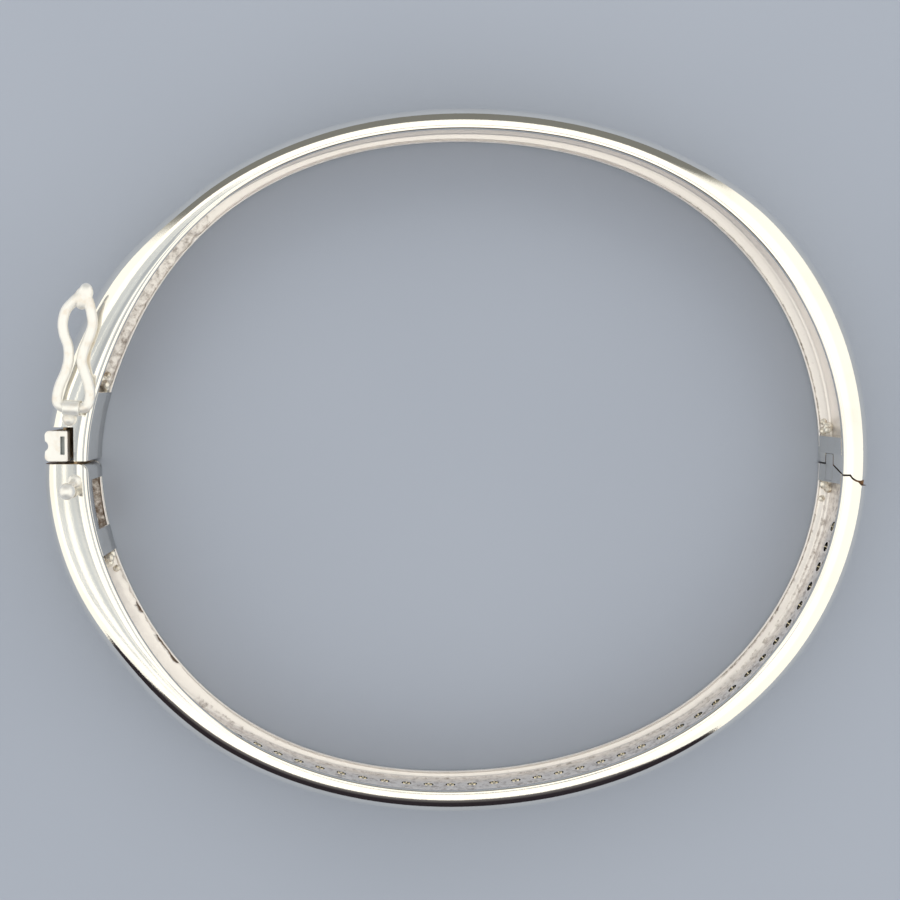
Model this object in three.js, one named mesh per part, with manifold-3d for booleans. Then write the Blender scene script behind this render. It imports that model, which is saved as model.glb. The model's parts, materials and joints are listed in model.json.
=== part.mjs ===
// A hinged bangle bracelet in silver: two half hoops on a pin hinge, a sprung tongue clasp
// with a thumb piece, and a figure-eight safety catch. Millimetres, +Z along the wrist.
// The bangle lies on its edge: +X is the hinge end, -X the clasp end, +Y the plain back half
// and -Y the stone-set front half.
import * as THREE from "three";
import { mergeVertices } from "three/addons/utils/BufferGeometryUtils.js";
import Module from "manifold-3d";

const wasm = await Module();
wasm.setup();

// ---------- driving dimensions ----------

const OVAL_A = 30.76; // half length of the wrist opening, hinge to clasp
const OVAL_B = 27.1; // half width of the wrist opening, front to back
const WIDTH = 7; // width of the band along the wrist
const MIDDLE = WIDTH / 2;
const RIM = 0.55; // thickness of the band's side walls at the wrist side
const RIM_CHAMFER = 0.1;
const GAP = 0.02; // between pieces that are soldered or riveted together
const SEAM = 0.15; // between pieces that part when the bangle opens

// Angles run round the oval from the hinge (0) by the back half (90) to the clasp (180).
// Each list holds [angle, millimetres], with a smooth change from one station to the next.
const SHAPE = {
  // how far the wrist opening stands outside or inside a true oval
  trim: [[5, 0], [50, 0.45], [88, -0.25], [127, 0.17], [158, -0.4], [178, -0.1], [205, 0],
    [233, 0.5], [274, -0.3], [312, 0]],
  // thickness of the band from the wrist opening to the outside, at mid width
  thickness: [[0, 2.75], [40, 2.9], [60, 2.2], [90, 2.03], [134, 2.15], [150, 3.2], [166, 3.5],
    [176, 3.5], [184, 3.7], [200, 3.5], [216, 2.8], [236, 2.35], [258, 2.2], [300, 2.4],
    [330, 2.65]],
  // width of the flat land on each side face, before the outside curves away
  land: [[0, 0.3], [118, 0.35], [150, 1.1], [166, 1.8], [182, 2.4], [198, 2.2], [216, 1],
    [240, 0.4], [300, 0.3], [325, 0.45], [345, 0.3]],
  // depth of the recess along the wrist side
  recess: [[0, 1.15], [45, 1.2], [70, 0.95], [90, 0.8], [112, 0.8], [134, 1.2], [152, 2.3],
    [180, 2.9], [200, 2.6], [218, 1.7], [236, 0.9], [258, 0.66], [282, 0.66], [300, 0.78],
    [322, 0.98], [342, 1.1]],
};

const HINGE = {
  inset: 1.5, // pin centre, outside the wrist opening
  y: -0.53,
  knuckleR: 1,
  pinR: 0.45,
  bore: 0.03, // radial running clearance on the pin
  middleLow: 2.35,
  middleHigh: 4.2,
  seamY: -1, // the seam on the wrist side, at the top of the band
  seamLowY: -0.25, // and below the level where its slope ends
  shoulderY: 0.55, // where the back shell ends
  tongueY: 0.35, // where the middle knuckle ends on the wrist side
  webY: -1.7, // where the middle knuckle joins the front half
  backBlockEnd: 4.2, // degrees
  frontBlockEnd: -3.9,
};

const CLASP = {
  endWallX: -33.1, // outer side of the wall behind the front half's end
  endWallZ: [1.35, 5.65],
  backEndY: 0.18,
  frontEndY: -0.06,
  notchX: -31.68,
  notchY: 2.9,
  plateDepth: 0.5,
  backPlateEnd: 167.8, // degrees
  frontPlateEnd: 196.1,
  cornerR: 0.65,
};

const WINDOW = { yLow: -4.9, yHigh: -1.3, zLow: 1.3, zHigh: 4.7 };

const TONGUE = {
  zLow: 1.75,
  zHigh: 5.25,
  thickness: 0.25,
  rootY: -5.6,
  tip: [-31.8, 5.05], // the fold
  mouth: [-31.86, 0.1], // the fixed leaf where it crosses the seam
  lip: [-32.7, 2.75], // the spring leaf where it leaves the box
};

const THUMB = {
  xOuter: -34,
  xEar: -32.18,
  xSeat: -32.6,
  yLow: 0.14,
  yHigh: 2.62,
  zLow: 0.15,
  zHigh: 6.85,
  ear: 1.1, // height of the ears above and below the spring leaf
  slotX: [-32.7, -32.45], // a slot in the top of the upper ear
  slotY: [0.75, 2.1],
  slotDepth: 0.6,
  grooveR: 0.42,
};

const CATCH = {
  x: -31.7,
  y: 4.42,
  z: 7.62,
  turn: -4, // degrees that the catch leans towards the wrist
  wireR: 0.41,
  wireFlat: 0.36, // half height of the wire
  tubeR: 0.62,
  tubeLow: -0.66,
  tubeHigh: 0.66,
  footWidth: 0.9,
  footDepth: 1.2,
  lump: [-0.2, -1, -0.62], // the solder lump in front of the tube
  lumpSize: [0.4, 0.66, 0.46],
  tab: [0.44, 9.02, 0],
  tabSize: [0.78, 0.84, 0.42],
};

const STUD = {
  base: [-31.58, -1.42],
  head: [-32.02, -2.15],
  headZ: 8.01,
  headR: 0.64,
  postR: 0.34,
  collarR: 0.54,
  collarHeight: 0.24,
};

const STONES = {
  count: 40,
  pitch: 1.93,
  hingeAngle: -11.5, // degrees, the stone nearest the hinge
  girdleR: 0.76,
  tableR: 0.43,
  crown: 0.24,
  girdle: 0.06,
  pavilion: 0.62,
  rise: 0.04, // the table stands this far out of the band
  backR: 0.5, // pierced opening behind each stone
  sides: 8,
};

// ---------- numbers along the oval ----------

const radians = THREE.MathUtils.degToRad;

// The value of a station list at an angle, on a smooth curve through them round the full circle.
function at(stations, degrees) {
  const count = stations.length;
  const turn = THREE.MathUtils.euclideanModulo(degrees, 360);
  const found = stations.findIndex(([a]) => a > turn);
  const next = found < 0 ? count : found;
  const station = (i) => {
    const [angle, value] = stations[THREE.MathUtils.euclideanModulo(i, count)];
    return [angle + 360 * Math.floor(i / count), value];
  };
  const [before, start, end, after] = [next - 2, next - 1, next, next + 1].map(station);
  const span = end[0] - start[0];
  const startSlope = ((end[1] - before[1]) / (end[0] - before[0])) * span;
  const endSlope = ((after[1] - start[1]) / (after[0] - start[0])) * span;
  const t = (turn - start[0]) / span;
  return (
    start[1] * (2 * t ** 3 - 3 * t ** 2 + 1) +
    startSlope * (t ** 3 - 2 * t ** 2 + t) +
    end[1] * (3 * t ** 2 - 2 * t ** 3) +
    endSlope * (t ** 3 - t ** 2)
  );
}

// The outward direction of the oval at an angle.
function outward(degrees) {
  const t = radians(degrees);
  return new THREE.Vector3(Math.cos(t) / OVAL_A, Math.sin(t) / OVAL_B, 0).normalize();
}

// A point on the band: out from the wrist opening by "depth", at height z.
function onBand(degrees, depth, z) {
  const t = radians(degrees);
  const out = at(SHAPE.trim, degrees) + depth;
  return new THREE.Vector3(OVAL_A * Math.cos(t), OVAL_B * Math.sin(t), z)
    .addScaledVector(outward(degrees), out);
}

// ---------- solids ----------

function solid(geometry) {
  const bare = geometry.clone();
  bare.deleteAttribute("normal");
  bare.deleteAttribute("uv");
  const welded = mergeVertices(bare, 1e-5);
  const mesh = new wasm.Mesh({
    numProp: 3,
    vertProperties: new Float32Array(welded.attributes.position.array),
    triVerts: new Uint32Array(welded.index.array),
  });
  return new wasm.Manifold(mesh);
}

function geometryOf(body) {
  const mesh = body.getMesh();
  const geometry = new THREE.BufferGeometry();
  geometry.setAttribute("position", new THREE.BufferAttribute(mesh.vertProperties, 3));
  geometry.setIndex(new THREE.BufferAttribute(mesh.triVerts, 1));
  geometry.computeVertexNormals();
  return geometry;
}

const union = (first, ...rest) => rest.reduce((sum, body) => sum.add(body), first);
const cut = (first, ...rest) => rest.reduce((left, body) => left.subtract(body), first);

function block([x0, x1], [y0, y1], [z0, z1]) {
  const geometry = new THREE.BoxGeometry(x1 - x0, y1 - y0, z1 - z0);
  geometry.translate((x0 + x1) / 2, (y0 + y1) / 2, (z0 + z1) / 2);
  return solid(geometry);
}

function post(x, y, [z0, z1], radius, sides = 28) {
  const geometry = new THREE.CylinderGeometry(radius, radius, z1 - z0, sides);
  geometry.rotateX(Math.PI / 2);
  geometry.translate(x, y, (z0 + z1) / 2);
  return solid(geometry);
}

// An outline in the XY plane, raised from z0 to z1.
function raised(points, [z0, z1]) {
  const shape = new THREE.Shape(points.map(([x, y]) => new THREE.Vector2(x, y)));
  const geometry = new THREE.ExtrudeGeometry(shape, { depth: z1 - z0, bevelEnabled: false });
  geometry.translate(0, 0, z0);
  return solid(geometry);
}

// Joins rings of equal length into one skin. An open skin is capped at both ends.
function loft(rings, closed) {
  const size = rings[0].length;
  const positions = rings.flat().flatMap((p) => [p.x, p.y, p.z]);
  const index = [];
  const last = closed ? rings.length : rings.length - 1;
  for (let r = 0; r < last; r++) {
    const here = r * size;
    const there = ((r + 1) % rings.length) * size;
    for (let i = 0; i < size; i++) {
      const j = (i + 1) % size;
      index.push(here + i, there + j, here + j, here + i, there + i, there + j);
    }
  }
  const geometry = new THREE.BufferGeometry();
  geometry.setAttribute("position", new THREE.Float32BufferAttribute(positions, 3));
  geometry.setIndex(index);
  return geometry;
}

// Sweeps a section of [depth, z] points along the band from one angle to another.
function sweep(sectionAt, from, to, steps) {
  const rings = [];
  for (let i = 0; i <= steps; i++) {
    const degrees = THREE.MathUtils.lerp(from, to, i / steps);
    rings.push(sectionAt(degrees).map(([depth, z]) => onBand(degrees, depth, z)));
  }
  const geometry = loft(rings, false);
  const flat = sectionAt(from).map(([depth, z]) => new THREE.Vector2(depth, z));
  const cap = THREE.ShapeUtils.triangulateShape(flat, []);
  const index = Array.from(geometry.index.array);
  const end = steps * flat.length;
  for (const [a, b, c] of cap) {
    index.push(a, b, c);
    index.push(end + a, end + c, end + b);
  }
  geometry.setIndex(index);
  return solid(geometry);
}

// ---------- sections of the band ----------

const DOME_POINTS = 10;
const DOME_POWER = 2.65; // 2 is an ellipse, and more is squarer

// The band's outside, from the lower inner rim round the dome to the upper inner rim.
function outerProfile(degrees, grow = 0) {
  const land = at(SHAPE.land, degrees);
  const reach = at(SHAPE.thickness, degrees) + grow - land;
  const points = [[RIM_CHAMFER, -grow], [0, RIM_CHAMFER]].reverse();
  for (let i = 0; i <= DOME_POINTS; i++) {
    const turn = -Math.PI / 2 + (Math.PI * i) / DOME_POINTS;
    const across = Math.abs(Math.cos(turn)) ** (2 / DOME_POWER);
    const up = Math.sign(turn) * Math.abs(Math.sin(turn)) ** (2 / DOME_POWER);
    points.push([land + reach * across, MIDDLE + (MIDDLE + grow) * up]);
  }
  points.push([RIM_CHAMFER, WIDTH + grow], [0, WIDTH - RIM_CHAMFER]);
  return points;
}

// The recess on the wrist side, from its upper edge round its floor to its lower edge.
function recessProfile(degrees, inset = 0) {
  const depth = at(SHAPE.recess, degrees) - inset;
  const half = [[0, RIM], [depth - 0.35, RIM + 0.05], [depth - 0.1, RIM + 0.15],
    [depth, RIM + 0.4]];
  const lower = half.map(([u, z]) => [u, z + inset]);
  const upper = lower.map(([u, z]) => [u, WIDTH - z]);
  return [...upper, ...lower.reverse()];
}

const shellSection = (degrees) => [...outerProfile(degrees), ...recessProfile(degrees)];
const solidSection = (degrees) => outerProfile(degrees);
const grownSection = (degrees) => outerProfile(degrees, GAP);
const fillerSection = (degrees) => {
  const profile = recessProfile(degrees, 0.04);
  return profile.reverse();
};

function plateSection() {
  const zLow = RIM + 0.1;
  const zHigh = WIDTH - zLow;
  return [[GAP, zLow], [CLASP.plateDepth, zLow], [CLASP.plateDepth, zHigh], [GAP, zHigh]];
}

// ---------- hinge ----------

const pinX = OVAL_A + at(SHAPE.trim, 0) + HINGE.inset;
const acrossWall = [OVAL_A - 3, OVAL_A + 6];
const allHeights = [-1, WIDTH + 1];
const topLayer = [HINGE.middleHigh + SEAM, WIDTH + 1];
const bottomLayer = [-1, HINGE.middleLow - SEAM];
const middleLayer = [HINGE.middleLow, HINGE.middleHigh];

function barrel(heights, extra = 0) {
  return post(pinX, HINGE.y, heights, HINGE.knuckleR + extra);
}

const hingeZone = sweep(solidSection, -6, 6, 8);

// Everything on the back half's side of the seam. The seam slopes above the middle knuckle.
function behindSeam(x, clearance) {
  const low = HINGE.seamLowY - clearance;
  const high = HINGE.seamY - clearance;
  const [bottom, top] = allHeights;
  const outline = [[low, bottom], [6, bottom], [6, top], [high, top], [high, WIDTH],
    [low, HINGE.middleHigh]];
  const shape = new THREE.Shape(outline.map(([y, z]) => new THREE.Vector2(y, z)));
  const geometry = new THREE.ExtrudeGeometry(shape, { depth: x[1] - x[0], bevelEnabled: false });
  geometry.rotateX(Math.PI / 2);
  geometry.rotateZ(Math.PI / 2);
  geometry.translate(x[0], 0, 0);
  return solid(geometry);
}

function backKnuckle(heights, boreHeights) {
  const wristSide = block([OVAL_A - 3, pinX], [HINGE.seamY, HINGE.shoulderY], heights);
  const body = union(
    barrel(heights),
    block([pinX - HINGE.pinR, OVAL_A + 6], [HINGE.y, HINGE.shoulderY], heights),
    wristSide.intersect(behindSeam([OVAL_A - 3, pinX], 0)),
  );
  const bore = post(pinX, HINGE.y, boreHeights, HINGE.pinR + HINGE.bore);
  return cut(body.intersect(hingeZone), bore);
}

function middleKnuckle() {
  const body = union(
    barrel(middleLayer),
    block([OVAL_A - 3, pinX], [HINGE.webY, HINGE.tongueY], middleLayer),
    block([pinX - 0.5, pinX + 0.75], [HINGE.webY, HINGE.y], middleLayer),
  );
  const bore = post(pinX, HINGE.y, allHeights, HINGE.pinR + HINGE.bore);
  return cut(body.intersect(hingeZone), bore);
}

// Everything of the front half that has to go to make room for the hinge.
const frontHingeCut = union(
  behindSeam(acrossWall, SEAM),
  barrel(allHeights, SEAM),
  block([pinX + 0.55, OVAL_A + 6], [HINGE.y - HINGE.knuckleR - 0.35, 6], allHeights),
  block(acrossWall, [HINGE.webY - GAP, 6], [HINGE.middleLow - GAP, HINGE.middleHigh + GAP]),
);
const backHingeCut = block(acrossWall, [-6, HINGE.shoulderY + GAP], allHeights);

// ---------- clasp ----------

const clampX = [-OVAL_A - 8, -OVAL_A + 6];
const backClaspCut = union(
  block(clampX, [-8, CLASP.backEndY], allHeights),
  block([-OVAL_A - 8, CLASP.notchX], [-8, CLASP.notchY], allHeights),
);

// The front half ends flat, with its inner corner rounded off.
function frontClaspCut() {
  const innerX = onBand(180, 0, 0).x;
  const cornerX = innerX - CLASP.cornerR;
  const cornerY = CLASP.frontEndY - CLASP.cornerR;
  const corner = cut(
    block([cornerX, innerX + 1], [cornerY, CLASP.frontEndY + 1], allHeights),
    post(cornerX, cornerY, [-2, WIDTH + 2], CLASP.cornerR),
  );
  return union(block(clampX, [CLASP.frontEndY, 8], allHeights), corner);
}
const frontClaspTrim = frontClaspCut();

// A flat strip that follows a line of [x, y] points, drawn by its middle line.
function strip(points, thickness, heights) {
  const left = [];
  const right = [];
  points.forEach(([x, y], i) => {
    const [px, py] = points[Math.max(0, i - 1)];
    const [nx, ny] = points[Math.min(points.length - 1, i + 1)];
    const along = new THREE.Vector2(nx - px, ny - py).normalize();
    const across = [(-along.y * thickness) / 2, (along.x * thickness) / 2];
    left.push([x + across[0], y + across[1]]);
    right.push([x - across[0], y - across[1]]);
  });
  return raised([...left, ...right.reverse()], heights);
}

const tongueHeights = [TONGUE.zLow, TONGUE.zHigh];
const leafLine = [[TONGUE.mouth[0] - 0.02, TONGUE.rootY], TONGUE.mouth, TONGUE.tip];

function springLine() {
  const [tipX, tipY] = TONGUE.tip;
  const fold = [tipX - 0.4, tipY - 0.1];
  return [fold, TONGUE.lip, [TONGUE.lip[0] + 0.02, THUMB.yLow + 0.25]];
}

function thumbPiece() {
  const { xOuter, xEar, xSeat, yLow, yHigh, zLow, zHigh, ear } = THUMB;
  const middleY = (yLow + yHigh) / 2;
  const seat = xSeat - 0.25;
  const body = block([xOuter, seat], [yLow, yHigh], [zLow, zHigh]);
  const topEar = block([seat - 0.1, xEar], [yLow, yHigh], [zHigh - ear, zHigh]);
  const bottomEar = block([seat - 0.1, xEar], [yLow, yHigh], [zLow, zLow + ear]);
  const groove = post(xOuter - 0.14, middleY, allHeights, THUMB.grooveR, 16);
  const corners = [yLow, yHigh].map((y) => {
    const inward = y === yLow ? 0.4 : -0.4;
    const outline = [[xOuter - 1, y], [xOuter - 1, y + inward], [xOuter, y + inward],
      [xOuter + 0.12, y + 0.3 * inward], [xOuter + 0.4, y], [xOuter + 0.4, y - inward],
      [xOuter - 1, y - inward]];
    return raised(y === yLow ? outline.reverse() : outline, allHeights);
  });
  const slot = block(THUMB.slotX, THUMB.slotY, [zHigh - THUMB.slotDepth, zHigh + 1]);
  return cut(union(body, topEar, bottomEar), groove, slot, ...corners);
}

// ---------- safety catch ----------

// The figure-eight's middle line, across the catch and along it from the pivot.
const CATCH_LINE = [[-0.6, 0], [0.1, 0.02], [0.75, 0.05], [1.24, 0.32], [1.4, 1.05],
  [1.24, 1.95], [0.86, 2.9], [0.58, 3.75], [0.66, 4.7], [0.96, 5.8], [1.2, 6.8], [1.02, 7.9],
  [0.8, 8.6], [0.44, 9], [0, 8.75], [-0.4, 8.35], [-0.88, 7.7], [-1.08, 6.74], [-0.93, 5.8],
  [-0.56, 4.9], [-0.45, 3.87], [-0.63, 2.83], [-1, 1.8], [-1.16, 0.95], [-1.1, 0.36]];

function catchWire() {
  const line = new THREE.CatmullRomCurve3(
    CATCH_LINE.map(([x, y]) => new THREE.Vector3(x, y, 0)),
    true,
    "centripetal",
  );
  const steps = 72;
  const sides = 8;
  const rings = [];
  for (let i = 0; i < steps; i++) {
    const centre = line.getPointAt(i / steps);
    const along = line.getTangentAt(i / steps);
    const across = new THREE.Vector3(along.y, -along.x, 0);
    const ring = [];
    for (let k = 0; k < sides; k++) {
      const turn = (2 * Math.PI * k) / sides;
      const point = centre.clone().addScaledVector(across, CATCH.wireR * Math.cos(turn));
      point.z += CATCH.wireFlat * Math.sin(turn);
      ring.push(point);
    }
    rings.push(ring);
  }
  const tab = new THREE.SphereGeometry(1, 16, 10);
  tab.scale(...CATCH.tabSize);
  tab.translate(...CATCH.tab);
  return union(solid(loft(rings, true)), solid(tab));
}

function catchTube() {
  const length = CATCH.tubeHigh - CATCH.tubeLow;
  const tubeX = (CATCH.tubeHigh + CATCH.tubeLow) / 2;
  const place = (geometry) => {
    geometry.rotateZ(radians(CATCH.turn));
    geometry.translate(CATCH.x, CATCH.y, CATCH.z);
    return solid(geometry);
  };
  const outside = new THREE.CylinderGeometry(CATCH.tubeR, CATCH.tubeR, length, 18);
  outside.rotateZ(Math.PI / 2);
  outside.translate(tubeX, 0, 0);
  const boreR = CATCH.wireR + 0.05;
  const bore = new THREE.CylinderGeometry(boreR, boreR, length + 1, 18);
  bore.rotateZ(Math.PI / 2);
  bore.translate(tubeX, 0, 0);
  const foot = new THREE.BoxGeometry(length, CATCH.footWidth, CATCH.footDepth);
  foot.translate(tubeX, 0, -CATCH.footDepth / 2);
  const lump = new THREE.SphereGeometry(1, 16, 10);
  lump.scale(...CATCH.lumpSize);
  lump.translate(...CATCH.lump);
  const band = sweep(grownSection, 166, 176, 8);
  return cut(union(place(outside), place(foot), place(lump)), place(bore), band);
}

function catchStud() {
  const foot = new THREE.Vector3(...STUD.base, WIDTH + GAP);
  const head = new THREE.Vector3(...STUD.head, STUD.headZ);
  const post = new THREE.CylinderGeometry(STUD.postR, STUD.postR, foot.distanceTo(head), 14);
  const lean = head.clone().sub(foot).normalize();
  post.applyQuaternion(
    new THREE.Quaternion().setFromUnitVectors(new THREE.Vector3(0, 1, 0), lean),
  );
  post.translate(...foot.clone().add(head).multiplyScalar(0.5));
  const high = STUD.collarHeight;
  const collar = new THREE.CylinderGeometry(STUD.collarR - 0.1, STUD.collarR, high, 18);
  collar.rotateX(Math.PI / 2);
  collar.translate(foot.x, foot.y, foot.z + high / 2);
  const ball = new THREE.SphereGeometry(STUD.headR, 18, 12);
  ball.translate(head.x, head.y, head.z);
  const side = block([foot.x - 3, foot.x + 3], [foot.y - 3, foot.y + 3], [0, foot.z]);
  return cut(union(solid(post), solid(collar), solid(ball)), side);
}

// ---------- stones ----------

// A round brilliant about the Y axis, its girdle at y = 0 and its table up.
function brilliant() {
  const { girdleR, tableR, crown, girdle, pavilion, sides } = STONES;
  const profile = [[0, -pavilion], [girdleR, -girdle], [girdleR, 0], [tableR, crown], [0, crown]];
  return new THREE.LatheGeometry(profile.map(([x, y]) => new THREE.Vector2(x, y)), sides);
}

// The seat that a stone sits in, open right through the wall.
function seat() {
  const { girdleR, girdle, backR, sides } = STONES;
  const wide = girdleR + 0.05;
  const profile = [[0, -2.5], [backR, -2.5], [backR, -0.42], [wide, -girdle - 0.05], [wide, 1],
    [0, 1]];
  return new THREE.LatheGeometry(profile.map(([x, y]) => new THREE.Vector2(x, y)), sides);
}

// Where each stone's girdle sits, from the hinge end to the clasp end.
function stonePlaces() {
  const places = [];
  let degrees = STONES.hingeAngle;
  for (let i = 0; i < STONES.count; i++) {
    const depth = at(SHAPE.thickness, degrees) + STONES.rise - STONES.crown;
    const place = new THREE.Matrix4();
    place.makeRotationFromQuaternion(
      new THREE.Quaternion().setFromUnitVectors(new THREE.Vector3(0, 1, 0), outward(degrees)),
    );
    place.setPosition(onBand(degrees, depth, MIDDLE));
    places.push(place);
    const step = 0.5;
    const speed = onBand(degrees, depth, 0).distanceTo(onBand(degrees - step, depth, 0)) / step;
    degrees -= STONES.pitch / speed;
  }
  return places;
}
const places = stonePlaces();

// ---------- the two half hoops ----------

const HALF_STEPS = 44;
const stoneSeats = places.map((place) => solid(seat().applyMatrix4(place)));

const backShell = cut(sweep(shellSection, -1, 182, HALF_STEPS), backHingeCut, backClaspCut);
const frontShell = cut(
  sweep(shellSection, 178, 361, HALF_STEPS),
  frontHingeCut,
  frontClaspTrim,
  ...stoneSeats,
);

const backClaspPlate = cut(sweep(plateSection, CLASP.backPlateEnd, 182, 8), backClaspCut);
const windowCut = block([-OVAL_A - 1, -OVAL_A + 3], [WINDOW.yLow, WINDOW.yHigh],
  [WINDOW.zLow, WINDOW.zHigh]);
const frontClaspPlate = cut(sweep(plateSection, 178, CLASP.frontPlateEnd, 8), frontClaspTrim,
  windowCut);
const backHingeBlock = cut(sweep(fillerSection, -1, HINGE.backBlockEnd, 4), backHingeCut);
const frontHingeBlock = cut(sweep(fillerSection, HINGE.frontBlockEnd, 1, 4), frontHingeCut);

const leafSlot = strip(leafLine, TONGUE.thickness + 2 * GAP,
  [TONGUE.zLow - GAP, TONGUE.zHigh + GAP]);
const plateBack = onBand(180, CLASP.plateDepth, 0).x - GAP;
const frontEndWall = cut(
  block([CLASP.endWallX, plateBack], [CLASP.frontEndY - 1, CLASP.frontEndY - 0.02],
    CLASP.endWallZ),
  frontClaspTrim,
  leafSlot,
);

// ---------- assembly ----------

function metal(color, roughness) {
  return new THREE.MeshStandardMaterial({ color, roughness, metalness: 1 });
}
const POLISHED = () => metal(0xe6e3da, 0.12);
const PLATE = () => metal(0xc9c7c1, 0.22);
const WIRE = () => metal(0xefe9dc, 0.18);
const SPRING = () => metal(0xb9aa92, 0.3);
const CLEAR = () =>
  new THREE.MeshStandardMaterial({ color: 0xf2f6fa, roughness: 0.02, metalness: 0 });

const bangle = new THREE.Group();

function add(parent, name, body, material) {
  const geometry = body.isBufferGeometry ? body : geometryOf(body);
  const mesh = new THREE.Mesh(geometry, material);
  mesh.name = name;
  parent.add(mesh);
  return mesh;
}

const backHalf = new THREE.Group();
add(backHalf, "back_shell", backShell, POLISHED());
add(backHalf, "back_clasp_plate", backClaspPlate, PLATE());
add(backHalf, "back_hinge_block", backHingeBlock, PLATE());
const pinTop = 6.05;
const pinBottom = 0.62;
add(backHalf, "hinge_knuckle_top", backKnuckle(topLayer, [0, pinTop + 0.05]), POLISHED());
add(backHalf, "hinge_knuckle_bottom", backKnuckle(bottomLayer, allHeights), POLISHED());
add(backHalf, "hinge_pin", post(pinX, HINGE.y, [pinBottom, pinTop], HINGE.pinR, 20), SPRING());
add(backHalf, "catch_tube", catchTube(), WIRE());

const frontHalf = new THREE.Group();
add(frontHalf, "front_shell", frontShell, POLISHED());
add(frontHalf, "front_clasp_plate", frontClaspPlate, PLATE());
add(frontHalf, "front_hinge_block", frontHingeBlock, PLATE());
add(frontHalf, "front_end_wall", frontEndWall, PLATE());
add(frontHalf, "hinge_knuckle_middle", middleKnuckle(), POLISHED());
add(frontHalf, "tongue_leaf", strip(leafLine, TONGUE.thickness, tongueHeights), SPRING());
add(frontHalf, "catch_stud", catchStud(), WIRE());
places.forEach((place, i) => {
  const name = "stone_" + String(i + 1).padStart(2, "0");
  add(frontHalf, name, solid(brilliant().applyMatrix4(place)), CLEAR());
});

const pushTongue = new THREE.Group();
add(pushTongue, "tongue_spring", strip(springLine(), TONGUE.thickness, tongueHeights), SPRING());
add(pushTongue, "thumb_piece", thumbPiece(), WIRE());

const safetyCatch = new THREE.Group();
safetyCatch.position.set(CATCH.x, CATCH.y, CATCH.z);
safetyCatch.rotation.z = radians(CATCH.turn);
add(safetyCatch, "catch_wire", catchWire(), WIRE());

bangle.add(backHalf, frontHalf, pushTongue, safetyCatch);

// The origin is at the middle of the bangle's base.
bangle.updateMatrixWorld(true);
const middle = new THREE.Box3().setFromObject(bangle, true).getCenter(new THREE.Vector3());
bangle.position.set(-middle.x, -middle.y, 0);

export default bangle;
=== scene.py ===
"""The looks of a hinged silver bangle: two half hoops, a sprung clasp, a catch and a line of stones."""

import json
import math

import bmesh
import bpy
from mathutils import Matrix, Vector, noise


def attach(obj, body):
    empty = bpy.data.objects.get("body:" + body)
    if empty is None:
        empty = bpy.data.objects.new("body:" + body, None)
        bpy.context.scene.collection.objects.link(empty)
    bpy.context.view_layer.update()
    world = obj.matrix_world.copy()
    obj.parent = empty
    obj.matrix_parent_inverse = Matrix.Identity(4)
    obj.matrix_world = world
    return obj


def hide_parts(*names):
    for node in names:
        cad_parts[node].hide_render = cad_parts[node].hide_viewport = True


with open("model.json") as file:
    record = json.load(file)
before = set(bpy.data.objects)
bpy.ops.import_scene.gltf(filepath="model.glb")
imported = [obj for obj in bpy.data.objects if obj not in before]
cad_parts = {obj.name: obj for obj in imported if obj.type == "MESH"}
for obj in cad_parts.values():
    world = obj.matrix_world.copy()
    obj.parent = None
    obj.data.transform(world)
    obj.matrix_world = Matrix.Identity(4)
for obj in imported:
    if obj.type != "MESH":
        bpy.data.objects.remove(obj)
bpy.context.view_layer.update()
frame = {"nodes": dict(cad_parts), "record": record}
MM = 0.001

# ---------- the band, in millimetres, the same shape as the CAD ----------

OVAL_A, OVAL_B = 30.76, 27.1  # half length and half width of the wrist opening
WIDTH = 7.0
MIDDLE = WIDTH / 2
RIM = 0.55  # side wall at the wrist side
DOME_POWER = 2.65  # 2 is an ellipse, and more is squarer

# [degrees from the hinge, millimetres]
TRIM = [[5, 0], [50, 0.45], [88, -0.25], [127, 0.17], [158, -0.4], [178, -0.1], [205, 0],
        [233, 0.5], [274, -0.3], [312, 0]]
THICKNESS = [[0, 2.75], [40, 2.9], [60, 2.2], [90, 2.03], [134, 2.15], [150, 3.2], [166, 3.5],
             [176, 3.5], [184, 3.7], [200, 3.5], [216, 2.8], [236, 2.35], [258, 2.2], [300, 2.4],
             [330, 2.65]]
LAND = [[0, 0.3], [118, 0.35], [150, 1.1], [166, 1.8], [182, 2.4], [198, 2.2], [216, 1],
        [240, 0.4], [300, 0.3], [325, 0.45], [345, 0.3]]
RECESS_DEPTH = [[0, 1.15], [45, 1.2], [70, 0.95], [90, 0.8], [112, 0.8], [134, 1.2], [152, 2.3],
                [180, 2.9], [200, 2.6], [218, 1.7], [236, 0.9], [258, 0.66], [282, 0.66],
                [300, 0.78], [322, 0.98], [342, 1.1]]

PIN_INSET = 1.5  # pin centre, outside the wrist opening
PIN_Y = -0.53
KNUCKLE_R = 1.0
SEAM = 0.15
ROUND_SIDES = 64


def at(stations, degrees):
    """The value of a station list at an angle, on a smooth curve round the full circle."""
    count = len(stations)
    turn = degrees % 360
    following = next((i for i, s in enumerate(stations) if s[0] > turn), count)

    def station(i):
        angle, value = stations[i % count]
        return angle + 360 * (i // count), value

    (a0, v0), (a1, v1), (a2, v2), (a3, v3) = (station(following + k) for k in (-2, -1, 0, 1))
    span = a2 - a1
    m1 = (v2 - v0) / (a2 - a0) * span
    m2 = (v3 - v1) / (a3 - a1) * span
    t = (turn - a1) / span
    return (v1 * (2 * t**3 - 3 * t**2 + 1) + m1 * (t**3 - 2 * t**2 + t)
            + v2 * (3 * t**2 - 2 * t**3) + m2 * (t**3 - t**2))


def outward(degrees):
    t = math.radians(degrees)
    return Vector((math.cos(t) / OVAL_A, math.sin(t) / OVAL_B, 0)).normalized()


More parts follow.
